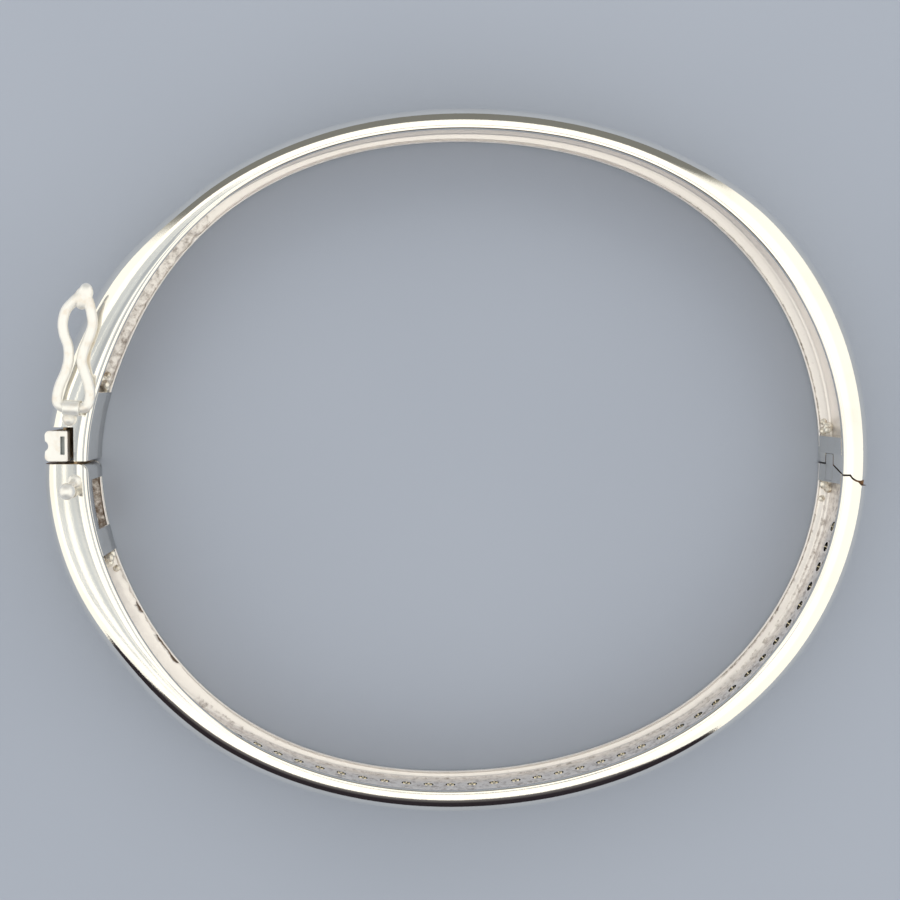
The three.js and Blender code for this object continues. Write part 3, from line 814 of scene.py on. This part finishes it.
def wire_piece():
    mesh = joined([tube_along(closed_curve(CATCH_LINE, 10), WIRE_R, WIRE_FLAT),
                   ellipsoid(TAB_AT, TAB_SIZE), ellipsoid(HEAD_AT, HEAD_SIZE)])
    mesh = melted(mesh, 0.05, 14)
    mesh.transform(TO_CATCH)
    piece = new_piece("catch_loop", mesh, [WIRE], 60)
    finish_piece(piece, "safety_catch", "silver_wire", "catch_wire")


def tube_piece():
    length = TUBE_X[1] - TUBE_X[0]
    bore = WIRE_R + 0.05
    profile = [(bore, 0), (TUBE_R - TUBE_ROUND, 0), (TUBE_R, TUBE_ROUND),
               (TUBE_R, length - TUBE_ROUND), (TUBE_R - TUBE_ROUND, length), (bore, length),
               (bore, 0)]
    turn = Matrix.Translation((TUBE_X[0], 0, 0)) @ Matrix.Rotation(math.pi / 2, 4, "Y")
    tube = lathe(profile, 40)
    tube.transform(turn)
    foot = block((TUBE_X[0] + 0.05, TUBE_X[1] - 0.05), (-0.45, 0.45), (-0.7, -bore - 0.02))
    lump = ellipsoid(LUMP_AT, LUMP_SIZE)
    mesh = melted(joined([tube, foot, lump]), 0.04, 3)
    mesh.transform(TO_CATCH)
    under = block(CATCH_SIDE_X, (-2, 12), (WIDTH - 3, SIDE_FACE))
    mesh = boolean(mesh, under, "DIFFERENCE")
    piece = new_piece("catch_barrel", mesh, [WIRE], 50)
    finish_piece(piece, "back_half", "silver_wire", "catch_tube")


STUD_BASE, STUD_HEAD = Vector((-31.64, -1.42, WIDTH)), Vector((-32.02, -2.15, 8.16))
STUD_R, STUD_POST_R, STUD_COLLAR_R, STUD_COLLAR_HIGH = 0.67, 0.3, 0.54, 0.24


def stud_piece():
    ball = ellipsoid(STUD_HEAD, (STUD_R, STUD_R, STUD_R))
    collar = ellipsoid(STUD_BASE, (STUD_COLLAR_R, STUD_COLLAR_R, STUD_COLLAR_HIGH))
    lean = STUD_HEAD - STUD_BASE
    stem = lathe([(0, -0.2), (STUD_POST_R, -0.2), (STUD_POST_R, lean.length), (0, lean.length)], 24,
                 lean.normalized(), STUD_BASE)
    mesh = melted(joined([ball, collar, stem]), 0.04, 3)
    mesh = boolean(mesh, block(CATCH_SIDE_X, (-9, 3), (MIDDLE - 0.5, SIDE_FACE)), "DIFFERENCE")
    finish_piece(new_piece("stud", mesh, [WIRE], 50), "front_half", "silver_wire", "catch_stud")


# ---------- solder left at the ends of the recess ----------

# [degrees, depth, height, size] of each drop
BACK_SOLDER = [(167.2, 0.55, 0.75, 0.42), (166.2, 1.1, 0.8, 0.5), (166.6, 0.45, 1.6, 0.4),
               (165.0, 0.7, 0.6, 0.3), (167.0, 1.7, 0.9, 0.6), (5.0, 0.35, 0.7, 0.35),
               (5.6, 0.8, 0.75, 0.42), (6.6, 0.5, 0.55, 0.3), (5.2, 0.5, 1.5, 0.3)]
FRONT_SOLDER = [(196.8, 0.45, 0.75, 0.4), (197.8, 0.9, 0.75, 0.5), (197.2, 0.5, 1.6, 0.38),
                (199.4, 0.5, 0.55, 0.3), (197.3, 1.6, 0.9, 0.6), (-4.6, 0.45, 0.8, 0.42),
                (-5.4, 0.85, 0.7, 0.36), (-7.2, 0.5, 0.55, 0.3), (190.2, 0.85, 2.6, 0.5),
                (189.2, 0.8, 3.5, 0.42)]
SOLDER_FLAT = 0.7  # height of a drop over its width


def solder(name, body, drops):
    shapes = [ellipsoid(on_band(degrees, depth, z), (size, size, size * SOLDER_FLAT), 16)
              for degrees, depth, z, size in drops]
    mesh = melted(joined(shapes), 0.06, 3)
    finish_piece(new_piece(name, mesh, [SOLDER], 60), body, "silver_wire")


# ---------- stones ----------

STONE_COUNT = 40
STONE_PITCH = 1.93
FIRST_STONE = -11.5
GIRDLE_R, TABLE_R, CROWN, GIRDLE, PAVILION = 0.76, 0.43, 0.24, 0.06, 0.62
STONE_RISE = 0.04
SEAT_GAP = 0.03
OPENING_R, OPENING_FLARE = 0.34, 0.42  # the pierced opening behind a stone


def stone_places():
    places = []
    degrees = FIRST_STONE
    for _ in range(STONE_COUNT):
        depth = at(THICKNESS, degrees) + STONE_RISE - CROWN
        back = depth - at(RECESS_DEPTH, degrees)
        places.append((degrees, on_band(degrees, depth, MIDDLE), outward(degrees), back))
        half = 0.5
        per_degree = (on_band(degrees, depth, 0) - on_band(degrees - half, depth, 0)).length / half
        degrees -= STONE_PITCH / per_degree
    return places


PLACES = stone_places()


def seat(place, axis, back):
    profile = [(0, -back - 0.5), (OPENING_FLARE, -back - 0.5), (OPENING_FLARE, -back),
               (OPENING_R, -back + 0.45), (OPENING_R, -0.42),
               (GIRDLE_R + SEAT_GAP, -0.1), (GIRDLE_R + SEAT_GAP, 1), (0, 1)]
    return lathe(profile, 24, axis, place)


def brilliant():
    """A round brilliant about Z with its girdle's top at z = 0."""
    def ring(radius, z, count, offset):
        return [Vector((radius * math.cos(2 * math.pi * (k + offset) / count),
                        radius * math.sin(2 * math.pi * (k + offset) / count), z))
                for k in range(count)]
    table = ring(TABLE_R, CROWN, 8, 0)
    kite = ring((GIRDLE_R + TABLE_R) / 2 + 0.01, CROWN * 0.52, 8, 0.5)
    girdle = ring(GIRDLE_R, 0, 16, 0)
    under = ring(GIRDLE_R, -GIRDLE, 16, 0)
    pavilion = ring(GIRDLE_R * 0.28, -PAVILION * 0.78, 8, 0.5)
    hull = bmesh.new()
    for p in table + kite + girdle + under + pavilion + [Vector((0, 0, -PAVILION))]:
        hull.verts.new(p)
    bmesh.ops.convex_hull(hull, input=hull.verts)
    bmesh.ops.dissolve_limit(hull, angle_limit=math.radians(1), verts=hull.verts, edges=hull.edges)
    mesh = bpy.data.meshes.new("brilliant")
    hull.to_mesh(mesh)
    hull.free()
    return mesh


def stones():
    for i, (_, place, axis, _) in enumerate(PLACES):
        mesh = brilliant()
        turn = Vector((0, 0, 1)).rotation_difference(axis).to_matrix().to_4x4()
        mesh.transform(Matrix.Translation(place) @ turn)
        name = f"stone_{i + 1:02d}"
        piece = new_piece("cut_" + name, mesh, [STONE], 5)
        finish_piece(piece, "front_half", "clear_stone", name)


BEAD_R = 0.13
BEAD_AT = 0.62  # above and below the middle


def beads():
    """The grains of metal raised between neighbouring stones to hold them."""
    parts = []
    for (d0, *_), (d1, *_) in zip(PLACES, PLACES[1:]):
        degrees = (d0 + d1) / 2
        for z in (MIDDLE - BEAD_AT, MIDDLE + BEAD_AT):
            depth = at(THICKNESS, degrees) - 0.02
            parts.append(ellipsoid(on_band(degrees, depth, z), (BEAD_R,) * 3, 12))
    piece = new_piece("setting_beads", joined(parts), [POLISHED], 50)
    finish_piece(piece, "front_half", "silver_polished")


# ---------- the two half hoops ----------

EDGE, EDGE_ANGLE = 0.07, 50  # the rounding of the cut edges, where they turn by more than this
HOOP_RINGS = 420
BACK_SPAN, FRONT_SPAN = (-1, 182), (178, 361)
# the hoops' metals: polished, cast with tarnish and painted shade, and the dark painted shade of the
# gaps
HOOP_METALS = [POLISHED, RECESS, GAP_SHADE_METAL]
HINGE_NOTCH = [(PIN_X - 0.45, -1.44), (PIN_X + 0.1, -1.95), (HINGE_END_X + 0.2, -2.2),
               (HINGE_END_X + 0.2, -1.2)]

CLASP_SIDE_X = -30.2
NOTCH_WALL = 1.6  # how far out from the notch's floor its walls reach
HINGE_SEAM_Y = (-2.2, -0.2)
NEAR = 0.02


def paint_gap_shade(mesh):
    """Gives the faces inside the seams a dark painted shade, where their polished walls lie in deep
    shadow.
    """
    for polygon in mesh.polygons:
        x, y, _ = polygon.center
        across, along = polygon.normal.x, abs(polygon.normal.y)
        in_notch = (BACK_END_Y - NEAR / 2 < y < NOTCH_Y + NEAR / 2
                    and NOTCH_X - NOTCH_WALL < x < NOTCH_X + NEAR)
        on_end = abs(y - BACK_END_Y) < NEAR or abs(y - FRONT_END_Y) < NEAR
        at_clasp = x < CLASP_SIDE_X and (in_notch or on_end) and (across < -0.9 or along > 0.9)
        in_seam = x > OVAL_A and HINGE_SEAM_Y[0] < y < HINGE_SEAM_Y[1]
        at_hinge = in_seam and across < 0.5 and along > 0.3
        if abs(polygon.normal.z) < 0.3 and (at_clasp or at_hinge):
            polygon.material_index = HOOP_METALS.index(GAP_SHADE_METAL)


def back_hoop():
    hinge_end = block((INNER_X, HINGE_END_X), (-6, SHOULDER_Y), ALL_Z)
    band = union(cut(half_hoop("band", *BACK_SPAN, HOOP_RINGS), hinge_end),
                 boolean(back_hinge_end(), hinge_zone(), "INTERSECT"))
    pin_hole = post(PIN_X, PIN_Y, (PIN_HOLE_END, PIN_TOP + PIN_CLEARANCE), PIN_R + 0.01)
    band = softened(cut(band, pin_hole, back_clasp_cut()), EDGE, 3, EDGE_ANGLE)
    paint_gap_shade(band)
    # the rounded band is parted at the shoulder, knuckles to one side and the shell to the other
    side = block((INNER_X - 1, HINGE_END_X + 1), (-7, SHOULDER_Y), (-2, WIDTH + 2))
    both_knuckles = boolean(band.copy(), side.copy(), "INTERSECT", "MANIFOLD")
    piece = new_piece("knuckles", both_knuckles, HOOP_METALS)
    finish_piece(piece, "back_half", "silver_polished", "hinge_knuckle_top", "hinge_knuckle_bottom")
    shell = boolean(band, side, "DIFFERENCE", "MANIFOLD")
    piece = new_piece("band_back", shell, HOOP_METALS)
    finish_piece(piece, "back_half", "silver_polished", "back_shell")


def front_hoop():
    outer = (PIN_Y - KNUCKLE_R - 0.35, 6.1)
    tools = [
        behind_seam((INNER_X, HINGE_END_X), SEAM),
        post(PIN_X, PIN_Y, (-1.1, WIDTH + 1.1), KNUCKLE_R + SEAM, ROUND_SIDES),
        block((PIN_X + 0.55, HINGE_END_X + 0.1), outer, (-1.2, WIDTH + 1.2)),
        block((INNER_X - 0.1, HINGE_END_X + 0.2), (WEB_Y - NEAR, 6.2),
              (MIDDLE_LOW - NEAR, MIDDLE_HIGH + NEAR)),
        front_clasp_cut(),
        prism(HINGE_NOTCH, (-1.3, WIDTH + 1.3)),
    ]
    shell = softened(cut(half_hoop("band", *FRONT_SPAN, HOOP_RINGS), *tools), EDGE, 3, EDGE_ANGLE)
    paint_gap_shade(shell)
    shell = boolean(shell, joined([seat(p, a, b) for _, p, a, b in PLACES]), "DIFFERENCE")
    piece = new_piece("band_front", shell, HOOP_METALS)
    finish_piece(piece, "front_half", "silver_polished", "front_shell")


back_hoop()
front_hoop()
middle_knuckle()
pin_piece()
plates()
thumb()
wire_piece()
tube_piece()
stud_piece()
solder("solder_back", "back_half", BACK_SOLDER)
solder("solder_front", "front_half", FRONT_SOLDER)
stones()
beads()

# ---------- CAD nodes that are kept ----------

KEPT = {"back_hinge_block": PLATE, "front_hinge_block": PLATE, "front_end_wall": SPRING,
        "tongue_leaf": SPRING, "tongue_spring": SPRING}
for name, material in KEPT.items():
    o = frame["nodes"][name]
    o.data.materials.clear()
    o.data.materials.append(material)

# ---------- room, light and camera ----------

LENS_MM = 59.2
CAMERA = Vector((-8.75, 6.05, 126.3))
DOWN = Vector((-0.0593, 0.0418, -0.9974))  # straight down, as the camera sees it
SENSOR_MM = 36
FLOOR_HALF = 1.5

FRONT_DARK, BACK_GREY = -96.7, 92.5  # azimuths of the dark and the grey parts of the room
DISC_LEAN = 3  # degrees that the cooler disc overhead leans towards the clasp
DOME_LIGHT = 0.84
DOME_COLOUR = (0.95, 0.97, 1.0, 1)
LIGHT_FAR, LIGHT_SIZE = 0.125, 0.09
LIGHTS = [("front_left", -137, 30, 0.010), ("front_right", -43, 30, 0.010),
          ("back_left", 118, 34, 0.014), ("back_right", 62, 34, 0.014)]

# What polished metal sees of the room. Each range is the cosine or the height, from 0 at the
# horizon to 1 overhead, over which one tone passes into the next.
CREAM, BRIGHT = (1.15, 1.12, 1.02, 1), (1.35, 1.32, 1.2, 1)
MILD, COOL = (0.66, 0.69, 0.70, 1), (0.46, 0.49, 0.52, 1)
GREY, LOW_DARK, HIGH_DARK = (0.21, 0.21, 0.19, 1), (0.025, 0.02, 0.025, 1), (0.16, 0.15, 0.15, 1)
BRIGHT_HIGH = (0.80, 0.9)
DARK_HIGH, DARK_SIDES = (0.55, 0.86), (0.70, 0.72)
DARK_TOP, DARK_TOP_RISE, DARK_TOP_SPAN, DARK_TOP_SOFT = 0.5, 0.36, (0.70, 0.86), 0.03
BACK_SIDES, BACK_TOP = (0.70, 0.78), (0.87, 0.84)
RING_OUTSIDE, RING_INSIDE, RING_SIDES = (0.970, 0.980), (0.992, 0.984), (0.4, 0.6)
CLASP_AZIMUTH = 180
DISC = (0.9905, 0.9975)


def camera():
    data = bpy.data.cameras.new("camera")
    data.sensor_width = SENSOR_MM
    data.lens = LENS_MM
    data.clip_start = 0.005
    data.clip_end = 10
    o = bpy.data.objects.new("camera", data)
    bpy.context.scene.collection.objects.link(o)
    o.location = BAND_TO_FRAME @ CAMERA
    o.rotation_mode = "QUATERNION"
    o.rotation_quaternion = DOWN.normalized().rotation_difference(Vector((0, 0, -1)))
    bpy.context.scene.camera = o


def floor():
    size = FLOOR_HALF
    mesh = mesh_of("floor", [(-size, -size, 0), (size, -size, 0), (size, size, 0), (-size, size, 0)],
                   [(0, 1, 2, 3)])
    o = bpy.data.objects.new("floor", mesh)
    bpy.context.scene.collection.objects.link(o)
    material, tree, shader = fresh_material("floor_paper")
    tone = grain(tree, 60, 2)
    colour = mixed(tree, tone, (0.40, 0.43, 0.48, 1), (0.46, 0.49, 0.54, 1))
    tree.links.new(colour, shader.inputs["Base Color"])
    shader.inputs["Roughness"].default_value = 0.7
    shader.inputs["Specular IOR Level"].default_value = 0.2
    mesh.materials.append(material)


def room():
    """Soft light: bright overhead and at both ends, dim behind and dark in front."""
    world = bpy.data.worlds.new("room")
    bpy.context.scene.world = world
    world.use_nodes = True
    tree = world.node_tree
    tree.nodes.clear()
    direction = node(tree, "ShaderNodeTexCoord").outputs["Generated"]
    parts = node(tree, "ShaderNodeSeparateXYZ", {"Vector": direction})
    x, y, z = parts.outputs

    def times(a, b):
        return maths(tree, "MULTIPLY", a, b)

    def plus(a, b):
        return maths(tree, "ADD", a, b)

    reach = maths(tree, "MAXIMUM", maths(tree, "SQRT", plus(times(x, x), times(y, y))), 0.001)

    def towards(azimuth):
        """The cosine of the angle, seen from above, between a direction and an azimuth."""
        a = math.radians(azimuth)
        return maths(tree, "DIVIDE", plus(times(x, math.cos(a)), times(y, math.sin(a))), reach)

    front, back = towards(FRONT_DARK), towards(BACK_GREY)
    dark = mixed(tree, ramp(tree, z, *DARK_HIGH), LOW_DARK, HIGH_DARK)
    dark_top = plus(DARK_TOP, times(ramp(tree, front, *DARK_TOP_SPAN), DARK_TOP_RISE))
    under = ramp(tree, maths(tree, "SUBTRACT", dark_top, z), 0.0, DARK_TOP_SOFT)
    colour = mixed(tree, ramp(tree, z, *BRIGHT_HIGH), CREAM, BRIGHT)
    colour = mixed(tree, times(ramp(tree, front, *DARK_SIDES), under), colour, dark)
    grey = times(ramp(tree, back, *BACK_SIDES), ramp(tree, z, *BACK_TOP))
    colour = mixed(tree, grey, colour, GREY)
    # a faint ring of the ceiling on the clasp's side, and the cooler disc nearly straight above
    ring = times(ramp(tree, z, *RING_OUTSIDE), ramp(tree, z, *RING_INSIDE))
    ring = times(ring, ramp(tree, towards(CLASP_AZIMUTH), *RING_SIDES))
    colour = mixed(tree, ring, colour, MILD)
    lean = math.radians(DISC_LEAN)
    above = plus(times(z, math.cos(lean)), times(x, -math.sin(lean)))
    colour = mixed(tree, ramp(tree, above, *DISC), colour, COOL)
    glossy = node(tree, "ShaderNodeBackground", {"Color": colour, "Strength": 1.0})
    soft = node(tree, "ShaderNodeBackground", {"Color": DOME_COLOUR, "Strength": DOME_LIGHT})
    ray = node(tree, "ShaderNodeLightPath").outputs["Is Glossy Ray"]
    mix = node(tree, "ShaderNodeMixShader", {0: ray, 1: soft.outputs[0], 2: glossy.outputs[0]})
    out = node(tree, "ShaderNodeOutputWorld")
    tree.links.new(mix.outputs[0], out.inputs[0])


def soft_box(name, azimuth, elevation, size, watts):
    data = bpy.data.lights.new(name, "AREA")
    data.shape = "RECTANGLE"
    data.size = size
    data.size_y = size * 0.7
    data.energy = watts
    o = bpy.data.objects.new(name, data)
    bpy.context.scene.collection.objects.link(o)
    a, e = math.radians(azimuth), math.radians(elevation)
    away = Vector((math.cos(a) * math.cos(e), math.sin(a) * math.cos(e), math.sin(e)))
    o.location = away * LIGHT_FAR
    o.rotation_mode = "QUATERNION"
    o.rotation_quaternion = away.to_track_quat("Z", "Y")
    o.visible_glossy = False


camera()
floor()
room()
for name, azimuth, elevation, watts in LIGHTS:
    soft_box(name, azimuth, elevation, LIGHT_SIZE, watts)
scene = bpy.context.scene
scene.view_settings.view_transform = "Standard"
